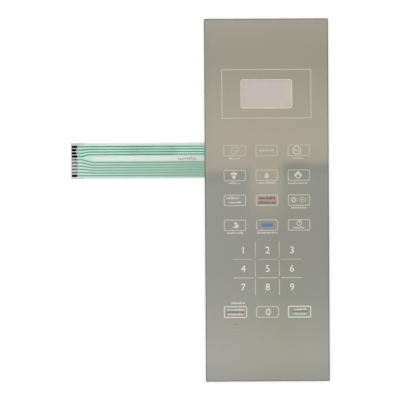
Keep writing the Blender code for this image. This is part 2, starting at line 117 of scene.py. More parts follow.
class Nodes:
    """A material's nodes. A value fed to one is a number, a colour or another node's output."""

    def __init__(self, name):
        self.material = bpy.data.materials.new(name)
        self.material.use_nodes = True
        self.tree = self.material.node_tree

    def node(self, kind, **settings):
        """Add a node, with its settings and the values of its inputs."""
        made = self.tree.nodes.new(kind)
        for name, value in settings.items():
            if name in made.inputs:
                made.inputs[name].default_value = value
            else:
                setattr(made, name, value)
        return made

    def feed(self, socket, value):
        """Set a socket, or link it to another node's output."""
        if isinstance(value, bpy.types.NodeSocket):
            self.tree.links.new(value, socket)
        elif isinstance(value, tuple):
            socket.default_value = (*value, 1.0)
        else:
            socket.default_value = value

    def position(self, axis):
        """Position along one axis of object space, in metres."""
        place = self.node("ShaderNodeTexCoord")
        split = self.node("ShaderNodeSeparateXYZ")
        self.feed(split.inputs["Vector"], place.outputs["Object"])
        return split.outputs[axis]

    def noise(self, scale, stretch=(1.0, 1.0, 1.0), detail=3.0):
        """Noise in object space, scale per metre, stretched by a factor on each axis."""
        place = self.node("ShaderNodeTexCoord")
        mapping = self.node("ShaderNodeMapping", Scale=stretch)
        texture = self.node("ShaderNodeTexNoise", Scale=scale, Detail=detail)
        self.feed(mapping.inputs["Vector"], place.outputs["Object"])
        self.feed(texture.inputs["Vector"], mapping.outputs["Vector"])
        return texture.outputs["Fac"]

    def ramp(self, factor, low, high, from_low=0.0, from_high=1.0, blend="LINEAR"):
        """Map a factor to a range of numbers."""
        node = self.node("ShaderNodeMapRange", interpolation_type=blend)
        node.inputs["From Min"].default_value = from_low
        node.inputs["From Max"].default_value = from_high
        node.inputs["To Min"].default_value = low
        node.inputs["To Max"].default_value = high
        self.feed(node.inputs["Value"], factor)
        return node.outputs["Result"]

    def rise(self, factor, start, end, blend="LINEAR"):
        """A factor that is 0 up to a start and 1 from an end on."""
        return self.ramp(factor, 0.0, 1.0, start, end, blend)

    def maths(self, operation, first, second=0.0):
        """The result of an operation on one or two numbers."""
        node = self.node("ShaderNodeMath", operation=operation)
        self.feed(node.inputs[0], first)
        self.feed(node.inputs[1], second)
        return node.outputs[0]

    def mix(self, factor, first, second, blend="MIX"):
        """Mix two colours. The node's colour sockets are its inputs 6 and 7."""
        node = self.node("ShaderNodeMix", data_type="RGBA", blend_type=blend)
        for index, value in ((0, factor), (6, first), (7, second)):
            self.feed(node.inputs[index], value)
        return node.outputs[2]

    def stops(self, axis, stops):
        """A colour that runs through stops along one axis, each a place and a colour."""
        start, end = stops[0][0], stops[-1][0]
        node = self.node("ShaderNodeValToRGB")
        elements = node.color_ramp.elements
        while len(elements) < len(stops):
            elements.new(0.5)
        for element, (at, colour) in zip(elements, stops):
            element.position = (at - start) / (end - start)
            element.color = (*colour, 1.0)
        self.feed(node.inputs["Fac"], self.rise(self.position(axis), start, end))
        return node.outputs["Color"]


class Material(Nodes):
    """A material with one main shader, whose tone, roughness and relief come from nodes."""

    def __init__(self, name, colour, roughness, metallic=0.0, **constants):
        super().__init__(name)
        self.shader = self.tree.nodes["Principled BSDF"]
        self.set("Base Color", colour)
        self.set("Roughness", roughness)
        self.set("Metallic", metallic)
        for socket, value in constants.items():
            self.set(socket.replace("_", " "), value)

    def set(self, socket, value):
        """Feed one of the shader's own sockets."""
        self.feed(self.shader.inputs[socket], value)

    def uneven_roughness(self, scale, low, high):
        """Roughness that varies between two values."""
        self.set("Roughness", self.ramp(self.noise(scale), low, high))

    def tooth(self, scale, strength=0.05, depth=0.00002):
        """Fine relief, its depth in metres."""
        node = self.node("ShaderNodeBump", Strength=strength, Distance=depth)
        self.feed(node.inputs["Height"], self.noise(scale))
        self.set("Normal", node.outputs["Normal"])


def varied(name, colour, roughness, metallic=0.0, spread=0.06, scale=400.0, **constants):
    """A plain finish with a little variation of tone, roughness and relief."""
    made = Material(name, colour, roughness, metallic, **constants)
    tone = made.mix(made.noise(scale), scaled(colour, 1 - spread), scaled(colour, 1 + spread))
    made.set("Base Color", tone)
    made.uneven_roughness(scale * 3, roughness * 0.85, roughness * 1.15)
    made.tooth(scale * 12)
    return made.material


FACE_COLOUR = (0.50, 0.49, 0.46)
FACE_WARM_COLOUR = (0.53, 0.49, 0.44)
FACE_EDGE_COLOUR = (0.10, 0.105, 0.10)
FACE_EDGE_WIDTH = 0.0009
FACE_METALLIC = 0.85


def face_material():
    """The satin metallic face: fine vertical brushing, soft cloudy tone, a darker band along its
    edge.
    """
    made = Material("satin_face_film", FACE_COLOUR, 0.13, FACE_METALLIC)
    streaks = made.noise(60.0, stretch=(60.0, 0.6, 1.0), detail=4.0)
    clouds = made.ramp(made.noise(14.0, detail=2.0), 0.0, 0.25)
    toned = made.mix(streaks, scaled(FACE_COLOUR, 0.97), scaled(FACE_COLOUR, 1.03))
    warm = made.mix(clouds, toned, FACE_WARM_COLOUR)
    half_width = (overlay_high.x - overlay_low.x) / 2
    half_length = (overlay_high.y - overlay_low.y) / 2
    edges = []
    for axis, half in (("X", half_width), ("Y", half_length)):
        distance = made.maths("ABSOLUTE", made.position(axis))
        edges.append(made.rise(distance, half - FACE_EDGE_WIDTH, half))
    edge = made.maths("MAXIMUM", *edges)
    made.set("Base Color", made.mix(edge, warm, FACE_EDGE_COLOUR))
    made.set("Roughness", made.ramp(streaks, 0.11, 0.15))
    return made.material


# How the bare film's tone changes along the tail
FILM_TONES = (
    (-0.1547, (0.52, 0.58, 0.56)),
    (-0.1380, (0.52, 0.58, 0.56)),
    (-0.1280, (0.48, 0.69, 0.60)),
    (-0.0850, (0.50, 0.64, 0.58)),
    (-0.0600, (0.44, 0.50, 0.43)),
    (-0.0490, (0.36, 0.39, 0.31)),
)
FILM_CLOUD_COLOUR = (0.56, 0.62, 0.57)


def clear_film_material():
    """Clear polyester film, a little green at this thickness and darker towards the panel."""
    made = Material("clear_film", (0.50, 0.58, 0.55), 0.12, Alpha=0.18)
    clouds = made.ramp(made.noise(60.0), 0.0, 0.15)
    made.set("Base Color", made.mix(clouds, made.stops("X", FILM_TONES), FILM_CLOUD_COLOUR))
    made.uneven_roughness(180.0, 0.10, 0.14)
    made.tooth(700.0)
    return made.material


# The display window's pink, which varies a little, and where it turns to cream
LENS_PINKS = ((0.485, 0.427, 0.446), (0.515, 0.453, 0.474))
LENS_CREAM = (0.54, 0.51, 0.38)
CREAM_RIGHT_X = (0.0125, 0.0160)
CREAM_FOOT_Y = (0.0760, 0.0790)


def lens_material():
    """The display lens: clear film with a soft pink tint, creamier at its right and foot."""
    made = Material("lens_film", (0.50, 0.44, 0.46), 0.15, Alpha=0.14)
    right = made.rise(made.position("X"), *CREAM_RIGHT_X)
    foot = made.ramp(made.position("Y"), 1.0, 0.0, *CREAM_FOOT_Y)
    cream = made.maths("MAXIMUM", right, foot)
    pink = made.mix(made.noise(50.0), *LENS_PINKS)
    made.set("Base Color", made.mix(cream, pink, LENS_CREAM))
    made.uneven_roughness(150.0, 0.13, 0.17)
    made.tooth(600.0)
    return made.material


# The tail's print: the height that parts its upper and lower band, with the change between them
BAND_SPLIT_Y = (0.0332, 0.0342)

# How the upper band's print changes along the tail, lighter at both ends and darker between,
# and how the lower band's does
PALER_PRINT = (0.60, 0.98, 0.83)
DARKER_PRINT = (0.48, 0.83, 0.69)
UPPER_PRINT = (
    (-0.1500, PALER_PRINT),
    (-0.1105, PALER_PRINT),
    (-0.1075, DARKER_PRINT),
    (-0.0730, DARKER_PRINT),
    (-0.0705, PALER_PRINT),
    (-0.0490, PALER_PRINT),
)
LOWER_PRINT = (
    (-0.1500, (0.62, 0.94, 0.80)),
    (-0.0490, (0.37, 0.64, 0.50)),
)


def insulator_material():
    """Thin green print that lets the tracks show, paler over the upper band of tracks."""
    made = Material("green_insulator", PALER_PRINT, 0.3, Alpha=0.6)
    blotches = made.noise(45.0, stretch=(1.0, 2.0, 1.0))
    blotches = made.ramp(blotches, 0.0, 0.45, from_low=0.35, from_high=0.65)
    upper = made.mix(blotches, made.stops("X", UPPER_PRINT), DARKER_PRINT)
    band = made.rise(made.position("Y"), *BAND_SPLIT_Y)
    made.set("Base Color", made.mix(band, made.stops("X", LOWER_PRINT), upper))
    made.uneven_roughness(500.0, 0.25, 0.38)
    made.tooth(2500.0, strength=0.06, depth=0.00001)
    return made.material


# Tints over the tracks of the tail: the upper band's, fresh and worn, and the lower band's
TINT_UPPER = (0.10, 0.26, 0.19)
TINT_WORN = (0.20, 0.37, 0.29)
TINT_LOWER = (
    (-0.1500, (0.22, 0.36, 0.29)),
    (-0.1000, (0.24, 0.38, 0.31)),
    (-0.0490, (0.27, 0.43, 0.35)),
)


def tint_material():
    """Darker green where the insulating print lies over a track."""
    made = Material("dark_green_tint", TINT_UPPER, 0.35, Alpha=0.75)
    less_dark = made.rise(made.noise(50.0, stretch=(1.0, 4.0, 1.0)), 0.4, 0.7)
    band = made.rise(made.position("Y"), *BAND_SPLIT_Y)
    upper = made.mix(less_dark, TINT_UPPER, TINT_WORN)
    made.set("Base Color", made.mix(band, made.stops("X", TINT_LOWER), upper))
    made.uneven_roughness(600.0, 0.3, 0.42)
    return made.material


def paper_material(name, colour):
    """Coated paper: faint fibres and a soft tooth."""
    made = Material(name, colour, 0.6)
    fibres = made.noise(350.0, stretch=(1.0, 5.0, 1.0), detail=6.0)
    made.set("Base Color", made.mix(fibres, scaled(colour, 0.94), scaled(colour, 1.05)))
    made.set("Roughness", made.ramp(fibres, 0.5, 0.7))
    made.tooth(1800.0, strength=0.12, depth=0.00003)
    return made.material


INK_ROUGHNESS = 0.42


def ink_material(name, colour):
    """Screen-printed ink: slightly uneven in tone, with a fine tooth."""
    return varied(name, colour, INK_ROUGHNESS, spread=0.05, scale=900.0)


# Tones of the raised lines, from the digit grid up to the window frame: the ink's own cream,
# with painted light that makes it warmer towards the top and changes its brightness with height
LINE_INK_AND_PAINTED_LIGHT = (
    (-0.0710, (0.50, 0.49, 0.44)),
    (-0.0580, (0.48, 0.47, 0.42)),
    (-0.0480, (0.41, 0.40, 0.35)),
    (-0.0440, (0.41, 0.40, 0.35)),
    (-0.0320, (0.48, 0.47, 0.42)),
    (0.0000, (0.49, 0.48, 0.43)),
    (0.0200, (0.47, 0.455, 0.39)),
    (0.0450, (0.465, 0.435, 0.36)),
    (0.0620, (0.49, 0.455, 0.37)),
    (0.1040, (0.50, 0.46, 0.375)),
)

# Tones of the bottom row's frames from left to right, and the height at which they take over
FOOT_FRAME_TONES = (
    (-0.0350, (0.70, 0.68, 0.63)),
    (-0.0130, (0.66, 0.65, 0.60)),
    (-0.0120, (0.53, 0.52, 0.46)),
    (0.0120, (0.53, 0.52, 0.46)),
    (0.0130, (0.72, 0.71, 0.64)),
    (0.0350, (0.72, 0.71, 0.64)),
)
FOOT_FRAMES_Y = (-0.0780, -0.0760)

# Tones of the pictograms and the small print, from the bottom row up to the top one: the ink's own
# cream, with painted light that makes it darker and warmer towards the top
SMALL_PRINT_INK_AND_PAINTED_LIGHT = (
    (-0.0960, (0.71, 0.70, 0.65)),
    (-0.0750, (0.68, 0.67, 0.62)),
    (-0.0250, (0.62, 0.615, 0.565)),
    (0.0050, (0.62, 0.61, 0.555)),
    (0.0200, (0.54, 0.525, 0.47)),
    (0.0420, (0.55, 0.525, 0.445)),
)

# The blue bar is paler towards its top
BLUE_TONES = (
    (-0.0207, srgb(70, 106, 158)),
    (-0.0190, srgb(84, 121, 163)),
    (-0.0180, srgb(106, 133, 158)),
)
WORN_INK_COLOUR = (0.20, 0.19, 0.16)


def toned_ink(name, tones, foot_tones=None):
    """Ink whose tone runs through stops up the face, slightly uneven, with a fine tooth."""
    made = Material(name, tones[0][1], INK_ROUGHNESS)
    toned = made.stops("Y", tones)
    if foot_tones:
        above = made.rise(made.position("Y"), *FOOT_FRAMES_Y)
        toned = made.mix(above, made.stops("X", foot_tones), toned)
    uneven = made.ramp(made.noise(900.0), 0.0, 0.08)
    made.set("Base Color", made.mix(uneven, toned, WORN_INK_COLOUR))
    made.uneven_roughness(2700.0, 0.36, 0.48)
    made.tooth(9000.0)
    return made.material


# The contacts that are grey rather than black, counted from the tail's upper edge
GREY_CONTACTS = range(5, 10)


def finish_nodes():
    """Give every node of the frame its finish."""
    clear = clear_film_material()
    silver = varied("silver_ink", (0.10, 0.13, 0.125), 0.45, 0.3, spread=0.15, scale=1500.0)
    black = varied("carbon_ink", (0.002, 0.002, 0.0025), 0.7, spread=0.3, scale=1800.0,
                   Specular_IOR_Level=0.03)
    less_dark = varied("grey_carbon_ink", (0.12, 0.11, 0.115), 0.7, spread=0.5, scale=1800.0,
                  Specular_IOR_Level=0.1)
    adhesive = varied("milky_adhesive", (0.66, 0.65, 0.58), 0.5)
    finishes = {
        "graphic_overlay": face_material(),
        "display_lens": lens_material(),
        "overlay_adhesive": adhesive,
        "rear_adhesive": adhesive,
        "upper_circuit_film": clear,
        "lower_circuit_film": clear,
        "spacer": varied("cream_spacer", (0.76, 0.71, 0.58), 0.4),
        "tail_insulator": insulator_material(),
        "tail_stiffener": varied("white_stiffener", (0.70, 0.68, 0.68), 0.45),
        "release_liner": paper_material("liner_paper", (0.61, 0.55, 0.51)),
    }
    for name, node in nodes.items():
        if name.startswith("contact_"):
            number = int(name.removeprefix("contact_"))
            finish = less_dark if number in GREY_CONTACTS else black
        else:
            finish = finishes.get(name, silver)
        node.data.materials.clear()
        node.data.materials.append(finish)


def arc(centre, radii, start, end, steps):
    """Points on an elliptical arc, both ends included."""
    turns = [math.radians(start + (end - start) * i / steps) for i in range(steps + 1)]
    return [(centre[0] + radii[0] * math.cos(a), centre[1] + radii[1] * math.sin(a)) for a in turns]


def placed(points, centre, tilt):
    """Turn points by an angle and move them."""
    c, s = math.cos(math.radians(tilt)), math.sin(math.radians(tilt))
    return [(centre[0] + x * c - y * s, centre[1] + x * s + y * c) for x, y in points]


def oval(centre, width, height, tilt=0.0, steps=28):
    """A closed oval outline."""
    points = arc((0, 0), (width / 2, height / 2), 0, 360, steps)[:-1]
    return placed(points, centre, tilt)


def box_outline(centre, width, height, radius=0.0, tilt=0.0):
    """A rectangle, with round corners where a radius is given."""
    x, y = width / 2 - radius, height / 2 - radius
    points = []
    for quarter, (sx, sy) in enumerate(((1, 1), (-1, 1), (-1, -1), (1, -1))):
        if radius:
            points += arc((sx * x, sy * y), (radius, radius), 90 * quarter, 90 * quarter + 90, 4)
        else:
            points.append((sx * x, sy * y))
    return placed(points, centre, tilt)


def stroke(points, width):
    """The outline of a line of even width through open points, with square ends."""
    left, right = [], []
    for i, (x, y) in enumerate(points):
        before = points[max(i - 1, 0)]
        after = points[min(i + 1, len(points) - 1)]
        dx, dy = after[0] - before[0], after[1] - before[1]
        length = math.hypot(dx, dy)
        nx, ny = -dy / length * width / 2, dx / length * width / 2
        left.append((x + nx, y + ny))
        right.append((x - nx, y - ny))
    return left + right[::-1]


def ring(centre, width, height, line, tilt=0.0):
    """The two outlines of an oval line."""
    return [
        oval(centre, width, height, tilt),
        oval(centre, width - 2 * line, height - 2 * line, tilt),
    ]


# Bars that stand in for small print: widths and gaps in millimetres, heights as shares of a line
BAR_WIDTHS = (0.4, 0.8)
BAR_GAPS = (0.36, 0.54)
BAR_HEIGHTS = (0.62, 0.7, 0.78, 1.0)


def greeked(centre, width, height, seed):
    """A stand-in for a line of small print: a row of short upright bars and no letters."""
    draw = random.Random(seed)
    loops = []
    x = centre[0] - width / 2
    end = centre[0] + width / 2
    foot = centre[1] - height / 2
    while x < end - BAR_WIDTHS[0] * MM:
        bar = min(draw.uniform(*BAR_WIDTHS) * MM, end - x)
        tall = height * draw.choice(BAR_HEIGHTS)
        loops.append(box_outline((x + bar / 2, foot + tall / 2), bar, tall))
        x += bar + draw.uniform(*BAR_GAPS) * MM
    return loops


def add_object(name, data):
    """A new object in the scene."""
    made = bpy.data.objects.new(name, data)
    bpy.context.scene.collection.objects.link(made)
    return made


def ride_print(piece):
    """Printed ink rides on the only body."""
    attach(piece, "root")
    return piece


def solid_from(data, name, material):
    """Make a mesh object from a curve or text, with its loose caps welded."""
    drawn = add_object(name + "_drawn", data)
    bpy.context.view_layer.update()
    evaluated = drawn.evaluated_get(bpy.context.evaluated_depsgraph_get())
    mesh = bpy.data.meshes.new_from_object(evaluated)
    shape = bmesh.new()
    shape.from_mesh(mesh)
    bmesh.ops.remove_doubles(shape, verts=shape.verts, dist=WELD_DISTANCE)
    shape.to_mesh(mesh)
    shape.free()
    mesh.materials.clear()
    mesh.materials.append(material)
    bpy.data.objects.remove(drawn)
    return add_object(name, mesh)


def print_piece(name, loops, bottom, material):
    """One closed thin piece for all the outlines of an ink."""
    curve = bpy.data.curves.new(name, "CURVE")
    curve.dimensions = "2D"
    curve.fill_mode = "BOTH"
    curve.extrude = INK_THICKNESS / 2
    for loop in loops:
        spline = curve.splines.new("POLY")
        spline.points.add(len(loop) - 1)
        for point, (x, y) in zip(spline.points, loop):
            point.co = (x, y, 0.0, 1.0)
        spline.use_cyclic_u = True
    piece = solid_from(curve, name, material)
    piece.location.z = bottom + INK_THICKNESS / 2
    return ride_print(piece)


def print_box(name, centre, size, bottom, material, radius=0.0):
    """A piece that is one box of ink, its size and corner radius in millimetres."""
    outline = box_outline(centre, size[0] * MM, size[1] * MM, radius * MM)
    return print_piece(name, [outline], bottom, material)


def lowest(face):
    """Height of a face's lowest corner."""
    return min(vertex.co.z for vertex in face.verts)


def keep_faces(shape, wanted):
    """Delete every face but the wanted ones."""
    other = [face for face in shape.faces if not wanted(face)]
    bmesh.ops.delete(shape, geom=other, context="FACES")


def grown_piece(name, shape, material):
    """Give flat faces the thickness of ink, just over where they lie, as a new piece."""
    bmesh.ops.remove_doubles(shape, verts=shape.verts, dist=WELD_DISTANCE)
    grown = bmesh.ops.extrude_face_region(shape, geom=list(shape.faces))
    for item in grown["geom"]:
        if isinstance(item, bmesh.types.BMVert):
            item.co.z += INK_THICKNESS
    bmesh.ops.translate(shape, verts=shape.verts, vec=(0.0, 0.0, INK_LIFT))
    bmesh.ops.recalc_face_normals(shape, faces=shape.faces)
    mesh = bpy.data.meshes.new(name)
    shape.to_mesh(mesh)
    shape.free()
    mesh.materials.append(material)
    return ride_print(add_object(name, mesh))


def tail_tints():
    """Darker ink where the insulating print lies over the silver tracks of the tail."""
    insulator_low, insulator_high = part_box("tail_insulator")
    shape = bmesh.new()
    for name, node in nodes.items():
        if name.startswith(("row_tail_line_", "column_line_")):
            shape.from_mesh(node.data)
    level = max(vertex.co.z for vertex in shape.verts)
    keep_faces(shape, lambda face: lowest(face) >= level - LEVEL_TOLERANCE)
    for x, side in ((insulator_low.x, -1), (insulator_high.x, 1)):
        whole = shape.verts[:] + shape.edges[:] + shape.faces[:]
        bmesh.ops.bisect_plane(
            shape, geom=whole, plane_co=(x, 0.0, 0.0), plane_no=(side, 0.0, 0.0), clear_outer=True
        )
    bmesh.ops.translate(shape, verts=shape.verts, vec=(0.0, 0.0, insulator_high.z - level))
    return grown_piece("tail_line_tints", shape, tint_material())


# Half the width and height of the part of a key, inside its frame, that a coloured field fills
FIELD_REACH = (7.9 * MM, 3.6 * MM)


def raised_lines(material):
    """Ink over the raised lines of the overlay, taken from the overlay's own top faces."""
    shape = bmesh.new()
    shape.from_mesh(nodes["graphic_overlay"].data)

    def in_field(face):
        centre = face.calc_center_median()
        return any(
            abs(centre.x - x) < FIELD_REACH[0] and abs(centre.y - y) < FIELD_REACH[1]
            for x, y in (RED_KEY, BLUE_KEY, CANCEL_KEY, LAMP_KEY)
        )

    def is_line(face):
        return lowest(face) > RAISED_TOP - LEVEL_TOLERANCE and not in_field(face)

    keep_faces(shape, is_line)
    return grown_piece("print_lines", shape, material)


# Digits: their height, the size they are typed at before that, and the zero's shift in millimetres
DIGIT_HEIGHT = 0.0054
TYPED_SIZE = 0.0075
ZERO_SHIFT = 0.65


def sized(piece, centre, height):
    """Scale a flat piece to a height and centre it on a point."""
    corners = [vertex.co for vertex in piece.data.vertices]
    low_x, high_x = min(c.x for c in corners), max(c.x for c in corners)
    low_y, high_y = min(c.y for c in corners), max(c.y for c in corners)
    scale = height / (high_y - low_y)
    for corner in corners:
        corner.x = centre[0] + (corner.x - (low_x + high_x) / 2) * scale
        corner.y = centre[1] + (corner.y - (low_y + high_y) / 2) * scale


def print_digits(material):
    """The plain digits, one to nine in the grid and zero in the bottom row."""
    places = {"0": offset(bottom_key(1), ZERO_SHIFT, 0.0)}
    for index in range(9):
        row, column = divmod(index, 3)
        x = (column - 1) * DIGIT_COLUMN_PITCH + DIGIT_SHIFT
        places[str(index + 1)] = (x, DIGIT_ROWS_Y[row])
    for digit, centre in places.items():
        text = bpy.data.curves.new("digit", "FONT")
        text.body = digit
        text.size = TYPED_SIZE
        text.extrude = INK_THICKNESS / 2
        piece = solid_from(text, f"print_digit_{digit}", material)
        sized(piece, centre, DIGIT_HEIGHT)
        piece.location.z = FILM_TOP + INK_THICKNESS / 2
        ride_print(piece)


def potato(at):
    """A tilted potato with two eyes."""
    return [
        *ring(offset(at, 0.0, 0.1), 7.2 * MM, 5.0 * MM, 0.42 * MM, 32),
        oval(offset(at, -1.0, 0.2), 0.8 * MM, 0.8 * MM, steps=10),
        oval(offset(at, 1.2, -0.2), 1.6 * MM, 0.6 * MM, 40, steps=12),
    ]


def dish(at):
    """A round dish with a folded line."""
    fold = [offset(at, -1.7, 1.2), offset(at, -0.4, -0.9), offset(at, 0.6, 0.9),
            offset(at, 1.9, -1.1)]
    return [*ring(at, 6.9 * MM, 6.9 * MM, 0.7 * MM), stroke(fold, 0.75 * MM)]


def tub(at):
    """A tub with puffs over it."""
    side, middle = (1.15 * MM, 1.15 * MM), (1.2 * MM, 1.2 * MM)
    puffs = arc(offset(at, -1.5, 1.0), side, 225, 80, 8)
    puffs += arc(offset(at, 0.0, 1.7), middle, 165, 15, 8)
    puffs += arc(offset(at, 1.5, 1.0), side, 100, -45, 8)
    return [
        puffs,
        [offset(at, -1.7, -0.2), offset(at, -1.1, -2.8), offset(at, 1.1, -2.8),
         offset(at, 1.7, -0.2)],
    ]


def drop(at):
    """A drop with a hollow."""
    outline = arc(offset(at, 0.0, -0.6), (1.7 * MM, 1.7 * MM), -220, 40, 18)
    outline.append(offset(at, 0.3, 2.3))
    return [outline, oval(offset(at, -0.4, -0.6), 0.8 * MM, 1.3 * MM, -20, steps=12)]


def leaning_square(at):
    """A leaning square with a smaller one cut out near its lower corner."""
    return [
        box_outline(at, 4.8 * MM, 4.8 * MM, 0.5 * MM, 45),
        box_outline(offset(at, 0.0, -0.9), 2.3 * MM, 2.3 * MM, 0.3 * MM, 45),
    ]


def star(at):
    """A star of eight short strokes."""
    loops = []
    inner, outer = 0.8 * MM, 2.5 * MM
    for turn in range(0, 180, 45):
        c, s = math.cos(math.radians(turn + 20)), math.sin(math.radians(turn + 20))
        for way in (-1, 1):
            start = (at[0] + way * inner * c, at[1] + way * inner * s)
            stop = (at[0] + way * outer * c, at[1] + way * outer * s)
            loops.append(stroke([start, stop], 0.55 * MM))
    return loops


def dashed_oval(at):
    """An oval of dashes round a bar."""
    loops = []
    for turn in range(0, 360, 30):
        loops.append(stroke(arc(at, (2.8 * MM, 1.7 * MM), turn, turn + 19, 3), 0.5 * MM))
    loops.append(box_outline(at, 2.6 * MM, 0.5 * MM))
    return loops


def weight_on_slope(at):
    """A slope with a round weight on it."""
    return [
        [offset(at, -2.6, -2.2), offset(at, 2.5, -2.2), offset(at, 2.1, 0.5)],
        oval(offset(at, 0.3, 1.1), 2.2 * MM, 2.2 * MM, steps=16),
    ]


def ring_with_hand(at):
    """A ring with a hand and a knob."""
    return [
        *ring(at, 4.3 * MM, 4.3 * MM, 0.5 * MM),
        box_outline(offset(at, 0.0, 2.6), 1.5 * MM, 0.5 * MM),
        box_outline(offset(at, 0.0, 0.5), 0.45 * MM, 1.6 * MM),
    ]


# Plain pictograms and where each stands
ICONS = (
    (potato, key(0, 0)),
    (dish, offset(key(0, 2), -1.5, 0.1)),
    (tub, offset(key(1, 0), -0.6, 0.1)),
    (drop, offset(key(1, 1), -0.2, 0.0)),
    (leaning_square, offset(key(1, 2), -0.6, 0.1)),
    (star, offset(key(2, 2), -4.1, 0.1)),
    (dashed_oval, offset(key(2, 2), 2.8, 0.1)),
    (weight_on_slope, offset(key(3, 0), 0.4, 0.2)),
    (ring_with_hand, offset(key(3, 2), 0.1, 1.5)),
)

# Places of light print: key, offset from it and width in millimetres, and height
SMALL = 1.5 * MM
TALL = 1.8 * MM
CAPTIONS = (
    (key(0, 0), 0.0, -6.2, 9.4, SMALL),
    (key(0, 1), -0.4, 0.1, 11.9, TALL),
    (key(0, 2), -0.6, -6.2, 7.9, SMALL),
    (key(1, 0), -0.4, -5.9, 8.7, SMALL),
    (key(1, 1), -0.1, -5.9, 14.2, SMALL),
    (key(1, 2), -0.8, -6.1, 15.4, SMALL),
    (key(2, 0), -1.7, 2.1, 9.9, TALL),
    (key(2, 0), 0.1, -1.4, 9.5, TALL),
    (key(2, 2), 0.2, -5.9, 12.6, SMALL),
    (key(3, 0), 0.2, -5.9, 12.2, SMALL),
    (key(3, 1), 0.4, -5.9, 16.4, SMALL),
    (key(3, 2), 0.1, -2.0, 8.7, SMALL),
    (CANCEL_KEY, 2.2, 7.2, 10.7, TALL),
    (CANCEL_KEY, 0.4, 2.0, 13.7, TALL),
    (CANCEL_KEY, 0.4, -1.75, 13.0, SMALL),
    (LAMP_KEY, 0.9, 2.1, 9.6, TALL),
    (LAMP_KEY, 0.5, -1.5, 10.2, SMALL),
)


def print_small(material):
    """The pictograms, and the plain bars that stand in for light captions."""
    icons = [loop for draw, at in ICONS for loop in draw(at)]
    print_piece("print_icons", icons, FILM_TOP, material)
    captions = []
    for seed, (centre, dx, dy, width, height) in enumerate(CAPTIONS):
        captions += greeked(offset(centre, dx, dy), width * MM, height, seed)
    print_piece("print_captions", captions, RAISED_TOP + INK_THICKNESS, material)


# The lower half of a two-part key: its place under the key's centre and its size, in millimetres
LOWER_HALF_DROP = -1.95
LOWER_HALF_SIZE = (16.9, 3.7)


def print_fields():
    """Fields of coloured ink, with the small print and dividers that stand on them."""
    level = RAISED_TOP + INK_LIFT
    upper_level = level + INK_THICKNESS
    pink = ink_material("pink_ink", srgb(158, 144, 133))
    print_box("print_red_field", RED_KEY, (16.1, 7.5), level, pink, radius=0.4)
    red_lines = greeked(offset(RED_KEY, 0.0, 1.7), 12.2 * MM, 2.0 * MM, 50)
    red_lines += greeked(offset(RED_KEY, 0.0, -1.7), 13.6 * MM, 2.0 * MM, 51)
    dark_red = ink_material("dark_red_ink", srgb(84, 54, 50))
    print_piece("print_red_lines", red_lines, upper_level, dark_red)
    blue = toned_ink("blue_ink", BLUE_TONES)
    print_box("print_blue_bar", offset(BLUE_KEY, 0.2, 0.4), (8.9, 3.1), level, blue, radius=0.3)
    mauve = ink_material("grey_pink_ink", srgb(152, 143, 136))
    lower = offset(CANCEL_KEY, 0.0, LOWER_HALF_DROP)
    print_box("print_cancel_field", lower, LOWER_HALF_SIZE, level, mauve)
    teal = ink_material("grey_green_ink", srgb(138, 148, 138))
    lower = offset(LAMP_KEY, 0.0, LOWER_HALF_DROP)
    print_box("print_lamp_field", lower, LOWER_HALF_SIZE, level, teal)
    brown = ink_material("dark_brown_ink", srgb(88, 80, 76))
    print_box("print_cancel_divider", CANCEL_KEY, (14.0, 0.5), upper_level, brown)
    grey = ink_material("dark_grey_ink", srgb(88, 94, 86))
    print_box("print_lamp_divider", offset(LAMP_KEY, 0.0, 0.1), (12.0, 0.4), upper_level, grey)


DASH_PLACE = (-0.0249, -0.0983)
SCUFF_PLACE = (-0.0242, -0.1036)


def print_marks():
    """A short dark dash and a faint pale scuff under the left bottom key."""
    dim = ink_material("dim_ink", srgb(104, 104, 98))
    print_box("print_dash", DASH_PLACE, (1.7, 0.45), FILM_TOP, dim)
    scuff = stroke(arc(SCUFF_PLACE, (1.9 * MM, 1.1 * MM), 20, 160, 8), 0.35 * MM)
    faint = ink_material("faint_ink", srgb(158, 158, 150))
    print_piece("print_scuff", [scuff], FILM_TOP, faint)


# Marks in the tail's gap: the first one's place, how many, and their pitch in millimetres
TAIL_MARKS_START = (-0.0698, 0.0336)
TAIL_MARKS = 9
TAIL_MARK_PITCH = 1.7


def print_tail_marks():
    """A short row of slanting grey bars in the bare gap of the tail, near the panel."""
    draw = random.Random(7)
    loops = []
    for step in range(TAIL_MARKS):
        middle = offset(TAIL_MARKS_START, step * TAIL_MARK_PITCH, draw.uniform(-0.7, 0.7))
        tall = draw.uniform(1.0, 2.2) * MM
        loops.append(box_outline(middle, 0.5 * MM, tall, 0.0, draw.uniform(-40, 5)))
    grey = ink_material("tail_grey_ink", srgb(118, 118, 110))
    print_piece("print_tail_marks", loops, TAIL_TOP + INK_LIFT, grey)


def add_print():
    """Everything printed on the face and the marks on the tail."""
    # Ink of the raised lines, with painted light in its tones
    raised_lines(toned_ink("line_ink_and_painted_light", LINE_INK_AND_PAINTED_LIGHT, FOOT_FRAME_TONES))
    print_digits(ink_material("white_ink", (0.70, 0.70, 0.64)))
    # Ink of the pictograms and small print, with painted light in its tones
    print_small(toned_ink("small_print_ink_and_painted_light", SMALL_PRINT_INK_AND_PAINTED_LIGHT))
    print_fields()
    print_marks()
    print_tail_marks()


# Floor: its width, and how far it lies under the part
FLOOR_SIZE = 6.0
FLOOR_GAP = 0.0001


def add_floor():
    """A plain white floor just under the part."""
    place = (0.0, 0.0, cad_low.z - FLOOR_GAP)
    bpy.ops.mesh.primitive_plane_add(size=FLOOR_SIZE, location=place)
    floor = bpy.context.object
    floor.name = "floor"
    floor.data.materials.append(Material("floor_white", (0.93, 0.93, 0.93), 0.9).material)


# Camera: where it stands, and how it is turned in degrees
CAMERA_PLACE = (-0.0625, 0.0180, 1.3029)
CAMERA_TURN = (-0.768, -0.424, -0.35)
SENSOR_WIDTH = 36.0
IMAGE_PIXELS = 400
FOCAL_PIXELS = 1645.0


